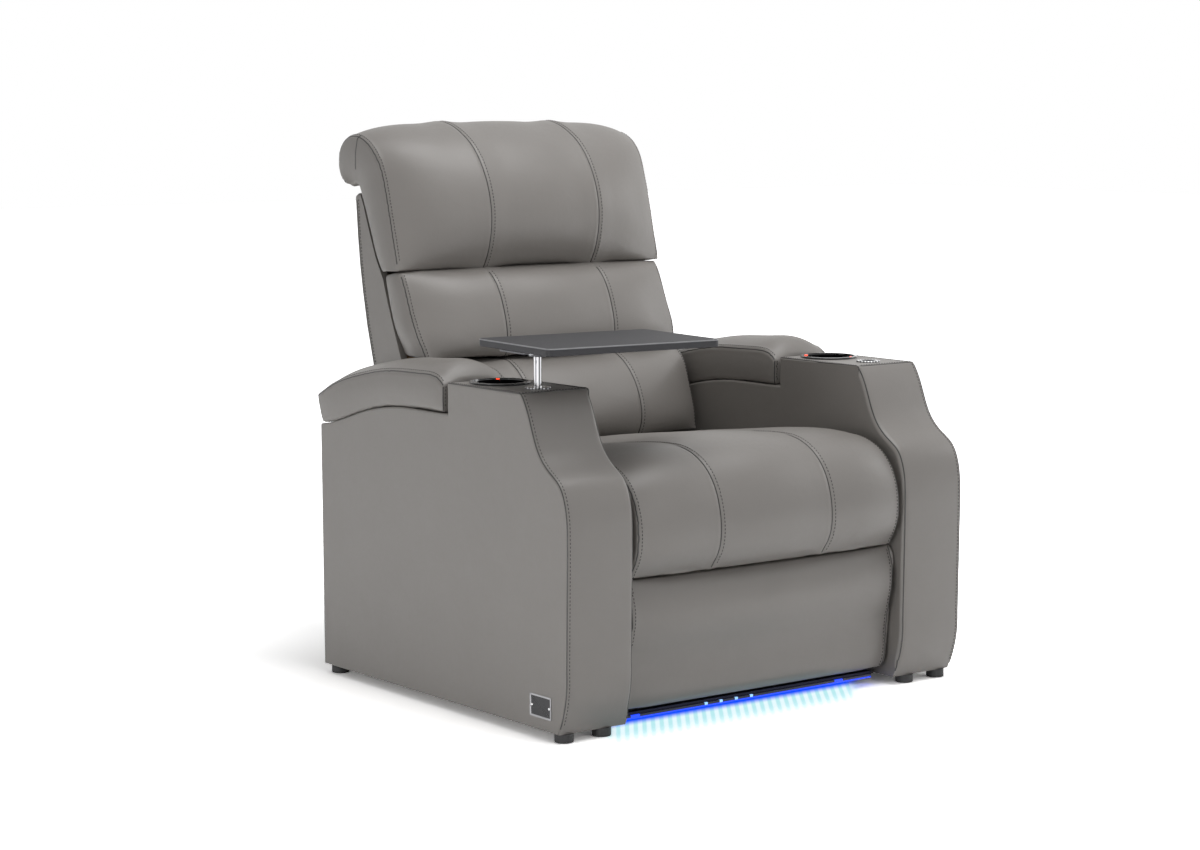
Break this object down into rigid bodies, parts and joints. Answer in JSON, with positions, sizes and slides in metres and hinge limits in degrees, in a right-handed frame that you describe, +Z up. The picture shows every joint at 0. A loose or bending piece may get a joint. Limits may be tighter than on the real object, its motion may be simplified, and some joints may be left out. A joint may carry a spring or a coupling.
{
  "type": "cinema recliner seat",
  "caption": "Powered reclining cinema seat with channelled cushions, storage arms, cup wells, swing-out footrest and a swivelling tray.",
  "frame": {"origin": "middle of the footprint, on the floor under the feet", "axes": "+Z up, the chair faces -Y, +X to the right seen from the front"},
  "size_m": [0.9324, 0.9762, 1.0583],
  "materials": {
    "leather": "soft satin, warm grey",
    "plywood": "raw",
    "frame_steel": "black powder coat",
    "bright_steel": "bright zinc",
    "polished_steel": "polished",
    "black_plastic": "matte",
    "gloss_black": "gloss",
    "touch_red": "lit red mark",
    "foot_black": "matte",
    "webbing": "woven",
    "led_channel": "satin",
    "led_blue": "lit diffuser",
    "nameplate": "brushed",
    "tray_black": "black",
    "tray_slate": "satin slate grey"
  },
  "bodies": {
    "base": {"arm_cover_left": "leather", "arm_cover_right": "leather", "seat_cushion": "leather", "arm_frame_left": "plywood", "arm_frame_right": "plywood", "base_frame": "frame_steel", "seat_frame": "frame_steel", "arm_bolts": "bright_steel", "lid_hinge_pins": "bright_steel", "grommet_left": "polished_steel", "grommet_right": "polished_steel", "cup_ring_left": "polished_steel", "cup_ring_right": "polished_steel", "storage_bin_left": "black_plastic", "storage_bin_right": "black_plastic", "control_box": "black_plastic", "footrest_drive": "black_plastic", "recline_drive": "black_plastic", "cup_liner_left": "gloss_black", "cup_liner_right": "gloss_black", "feet": "foot_black", "seat_webbing": "webbing", "led_channel": "led_channel", "led_strip": "led_blue", "nameplate": "nameplate"},
    "lid_left": {"lid_pad_left": "leather", "lid_board_left": "plywood", "lid_leaf_left": "bright_steel"},
    "lid_right": {"lid_pad_right": "leather", "lid_board_right": "plywood", "lid_leaf_right": "bright_steel"},
    "button_front_left": {"cup_button_front_left": "touch_red"},
    "button_rear_left": {"cup_button_rear_left": "touch_red"},
    "button_front_right": {"cup_button_front_right": "touch_red"},
    "button_rear_right": {"cup_button_rear_right": "touch_red"},
    "footrest_arms": {"footrest_arms": "frame_steel"},
    "footrest_links": {"footrest_links": "frame_steel"},
    "footrest_carrier": {"footrest_carrier": "frame_steel"},
    "tilt_strut": {"footrest_tilt_strut": "frame_steel"},
    "footrest_panel": {"footrest_board": "plywood", "footrest_brackets": "frame_steel", "footrest_pad": "leather"},
    "footrest_rod": {"footrest_drive_rod": "bright_steel"},
    "back": {"back_frame": "plywood", "back_hinge": "frame_steel", "back_shell": "leather", "back_webbing": "webbing", "lumbar_cushion": "leather", "midback_cushion": "leather", "headrest_arms": "frame_steel", "headrest_drive": "black_plastic"},
    "recline_rod": {"recline_drive_rod": "bright_steel"},
    "headrest": {"headrest_frame": "frame_steel", "headrest_cushion": "leather"},
    "headrest_rod": {"headrest_drive_rod": "bright_steel"},
    "tray_post": {"tray_post": "polished_steel"},
    "tray_button": {"tray_post_button": "polished_steel"},
    "tray": {"tray_bracket": "tray_black", "tray_screws": "bright_steel", "tray_board": "tray_slate"}
  },
  "joints": [
    {"name": "recline", "type": "hinge", "parent": "base", "child": "back", "pos_m": [0, 0.1699, 0.335], "axis": [-1, 0, 0], "range_deg": [0, 38]},
    {"name": "headrest_tilt", "type": "hinge", "parent": "back", "child": "headrest", "pos_m": [0, 0.2719, 0.785], "axis": [1, 0, 0], "range_deg": [0, 25]},
    {"name": "footrest_swing", "type": "hinge", "parent": "base", "child": "footrest_arms", "pos_m": [0, -0.3451, 0.235], "axis": [-1, 0, 0], "range_deg": [0, 85]},
    {"name": "footrest_link_swing", "type": "hinge", "parent": "base", "child": "footrest_links", "pos_m": [0, -0.3051, 0.207], "axis": [-1, 0, 0], "range_deg": [0, 85]},
    {"name": "footrest_carrier_level", "type": "hinge", "parent": "footrest_arms", "child": "footrest_carrier", "pos_m": [0, -0.3451, 0.065], "axis": [1, 0, 0], "range_deg": [0, 85]},
    {"name": "footrest_tilt", "type": "hinge", "parent": "footrest_carrier", "child": "footrest_panel", "pos_m": [0, -0.3981, 0.225], "axis": [-1, 0, 0], "range_deg": [0, 85]},
    {"name": "tilt_strut_level", "type": "hinge", "parent": "footrest_arms", "child": "tilt_strut", "pos_m": [0.0555, -0.3329, 0.08682], "axis": [1, 0, 0], "range_deg": [0, 85]},
    {"name": "footrest_drive_extend", "type": "slide", "parent": "base", "child": "footrest_rod", "axis": [0, -1, 0], "range_m": [0, 0.08107]},
    {"name": "recline_drive_retract", "type": "slide", "parent": "base", "child": "recline_rod", "axis": [0, -1, 0], "range_m": [0, 0.06198]},
    {"name": "headrest_drive_extend", "type": "slide", "parent": "back", "child": "headrest_rod", "axis": [0, 0.134, 0.991], "range_m": [0, 0.03136]},
    {"name": "left_lid", "type": "hinge", "parent": "base", "child": "lid_left", "pos_m": [-0.392, 0.3259, 0.479], "axis": [-1, 0, 0], "range_deg": [0, 95]},
    {"name": "right_lid", "type": "hinge", "parent": "base", "child": "lid_right", "pos_m": [0.392, 0.3259, 0.479], "axis": [-1, 0, 0], "range_deg": [0, 95]},
    {"name": "tray_lift", "type": "slide", "parent": "base", "child": "tray_post", "axis": [0, 0, 1], "range_m": [0, 0.06]},
    {"name": "tray_swivel", "type": "hinge", "parent": "tray_post", "child": "tray", "pos_m": [-0.392, -0.2871, 0.664], "axis": [0, 0, 1], "range_deg": [-95, 10]},
    {"name": "tray_button_press", "type": "slide", "parent": "tray_post", "child": "tray_button", "axis": [0.6, 0.8, 0], "range_m": [0, 0.0018], "stiffness_N_per_m": 300},
    {"name": "left_front_button", "type": "slide", "parent": "base", "child": "button_front_left", "axis": [0, 0, -1], "range_m": [0, 0.0012], "stiffness_N_per_m": 300},
    {"name": "left_rear_button", "type": "slide", "parent": "base", "child": "button_rear_left", "axis": [0, 0, -1], "range_m": [0, 0.0012], "stiffness_N_per_m": 300},
    {"name": "right_front_button", "type": "slide", "parent": "base", "child": "button_front_right", "axis": [0, 0, -1], "range_m": [0, 0.0012], "stiffness_N_per_m": 300},
    {"name": "right_rear_button", "type": "slide", "parent": "base", "child": "button_rear_right", "axis": [0, 0, -1], "range_m": [0, 0.0012], "stiffness_N_per_m": 300}
  ],
  "couplings": [
    {"joint": "footrest_link_swing", "follows": "footrest_swing", "ratio": 1},
    {"joint": "footrest_carrier_level", "follows": "footrest_swing", "ratio": 1},
    {"joint": "footrest_tilt", "follows": "footrest_swing", "ratio": 1},
    {"joint": "tilt_strut_level", "follows": "footrest_swing", "ratio": 1},
    {"joint": "footrest_drive_extend", "follows": "footrest_swing", "m_per_rad": 0.054647},
    {"joint": "recline_drive_retract", "follows": "recline", "m_per_rad": 0.093454},
    {"joint": "headrest_drive_extend", "follows": "headrest_tilt", "m_per_rad": 0.071878}
  ]
}
